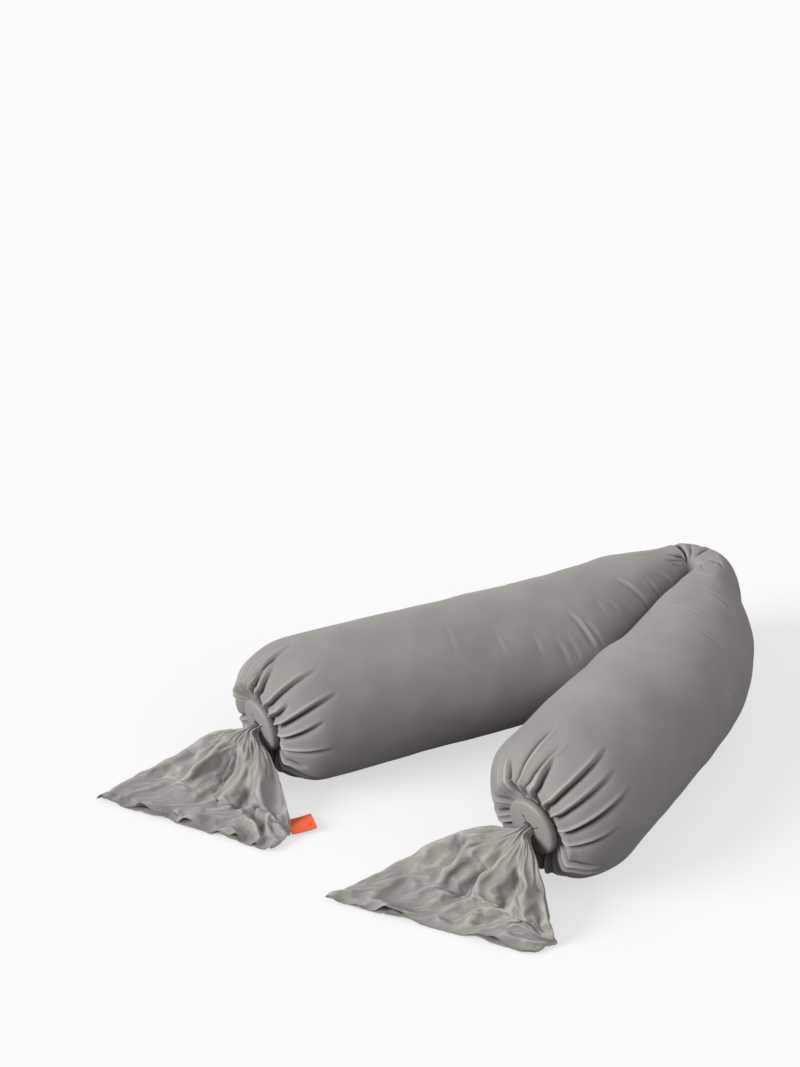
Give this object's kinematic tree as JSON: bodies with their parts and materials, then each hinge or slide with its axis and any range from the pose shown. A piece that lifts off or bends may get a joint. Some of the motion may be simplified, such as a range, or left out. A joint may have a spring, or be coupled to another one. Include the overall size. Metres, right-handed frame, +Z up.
{
  "type": "nursing pillow",
  "caption": "Long bead-filled tube pillow folded into a V, its stretch cover gathered through a round tie disc at each end and spreading into a flat tail.",
  "frame": {"origin": "on the table, at the middle of the flat underside of the fold's middle section", "axes": "+Z up; +X to the right as the picture shows it, along the object's longest extent; +Y away from the viewer; both arms run from the fold towards -X and -Y"},
  "size_m": [0.905, 0.7188, 0.186],
  "materials": {
    "jersey": "matte",
    "liner": "matte",
    "beads": "matte",
    "silicone": "matte",
    "ribbon": "satin"
  },
  "bodies": {
    "left_arm": {"cover_left_arm": "jersey", "liner_left_arm": "liner", "beads_left_arm": "beads"},
    "bend_1": {"cover_bend_1": "jersey", "liner_bend_1": "liner", "beads_bend_1": "beads"},
    "bend_2": {"cover_bend_2": "jersey", "liner_bend_2": "liner", "beads_bend_2": "beads"},
    "bend_3": {"cover_bend_3": "jersey", "liner_bend_3": "liner", "beads_bend_3": "beads"},
    "right_arm": {"cover_right_arm": "jersey", "liner_right_arm": "liner", "beads_right_arm": "beads"},
    "left_end": {"tie_disc_left": "silicone", "gathered_neck_left": "jersey"},
    "right_end": {"tie_disc_right": "silicone", "gathered_neck_right": "jersey"},
    "left_tail": {"tail_left": "jersey", "hem_left": "jersey"},
    "right_tail": {"tail_right": "jersey", "hem_right": "jersey"},
    "label": {"care_label": "ribbon"}
  },
  "joints": [
    {"name": "fold_1", "type": "hinge", "parent": "left_arm", "child": "bend_1", "pos_m": [-0.06351, 0.04091, 0], "axis": [0, 0, 1], "range_deg": [0, 32]},
    {"name": "fold_2", "type": "hinge", "parent": "bend_1", "child": "bend_2", "pos_m": [-0.00299, 0.04497, 0], "axis": [0, 0, 1], "range_deg": [0, 32]},
    {"name": "fold_3", "type": "hinge", "parent": "bend_2", "child": "bend_3", "pos_m": [0.04449, 0.0072, 0], "axis": [0, 0, 1], "range_deg": [0, 32]},
    {"name": "fold_4", "type": "hinge", "parent": "bend_3", "child": "right_arm", "pos_m": [0.05415, -0.05268, 0], "axis": [0, 0, 1], "range_deg": [0, 32]},
    {"name": "left_disc_slide", "type": "slide", "parent": "left_arm", "child": "left_end", "axis": [-0.8192, -0.5736, 0], "range_m": [0, 0.03]},
    {"name": "right_disc_slide", "type": "slide", "parent": "right_arm", "child": "right_end", "axis": [-0.7716, -0.6361, 0], "range_m": [0, 0.03]},
    {"name": "left_tail_lift", "type": "hinge", "parent": "left_end", "child": "left_tail", "pos_m": [-0.65064, -0.33498, 0.0832], "axis": [-0.7547, 0.6561, 0], "range_deg": [0, 60]},
    {"name": "right_tail_lift", "type": "hinge", "parent": "right_end", "child": "right_tail", "pos_m": [-0.30625, -0.54522, 0.0832], "axis": [-0.5373, 0.8434, 0], "range_deg": [0, 60]},
    {"name": "label_flip", "type": "hinge", "parent": "left_tail", "child": "label", "pos_m": [-0.59631, -0.43928, 0.006], "axis": [0.3319, -0.9433, 0], "range_deg": [0, 70]}
  ],
  "couplings": [
    {"joint": "fold_2", "follows": "fold_1", "ratio": 1},
    {"joint": "fold_3", "follows": "fold_1", "ratio": 1},
    {"joint": "fold_4", "follows": "fold_1", "ratio": 1}
  ]
}
